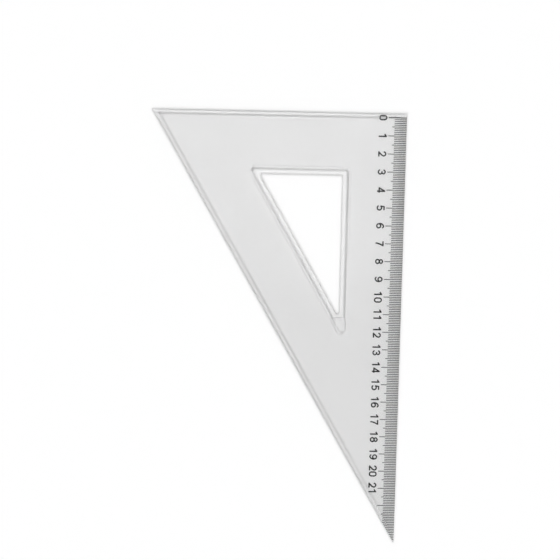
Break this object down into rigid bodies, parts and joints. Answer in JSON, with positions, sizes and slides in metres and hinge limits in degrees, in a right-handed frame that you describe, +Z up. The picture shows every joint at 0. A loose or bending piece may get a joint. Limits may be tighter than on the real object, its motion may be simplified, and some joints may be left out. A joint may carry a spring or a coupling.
{
  "type": "drafting triangle",
  "caption": "Clear flat right-angled triangle with 30 and 60 degree corners, a finger cutout and a stamped centimetre scale along its long leg, for ruling and measuring lines.",
  "frame": {"origin": "centre of the bounding box, on the underside the triangle lies on", "axes": "+X towards the graduated long leg, +Y towards the short leg (the 30 degree tip is at -Y), +Z up from the underside"},
  "size_m": [0.141, 0.244, 0.002],
  "materials": {
    "clear_plastic": "polished",
    "ink": "matte"
  },
  "bodies": {
    "root": {"plate": "clear_plastic", "millimetre_ticks": "ink", "half_centimetre_ticks": "ink", "centimetre_ticks": "ink", "numeral_00": "ink", "numeral_01": "ink", "numeral_02": "ink", "numeral_03": "ink", "numeral_04": "ink", "numeral_05": "ink", "numeral_06": "ink", "numeral_07": "ink", "numeral_08": "ink", "numeral_09": "ink", "numeral_10": "ink", "numeral_11": "ink", "numeral_12": "ink", "numeral_13": "ink", "numeral_14": "ink", "numeral_15": "ink", "numeral_16": "ink", "numeral_17": "ink", "numeral_18": "ink", "numeral_19": "ink", "numeral_20": "ink", "numeral_21": "ink"}
  },
  "joints": []
}
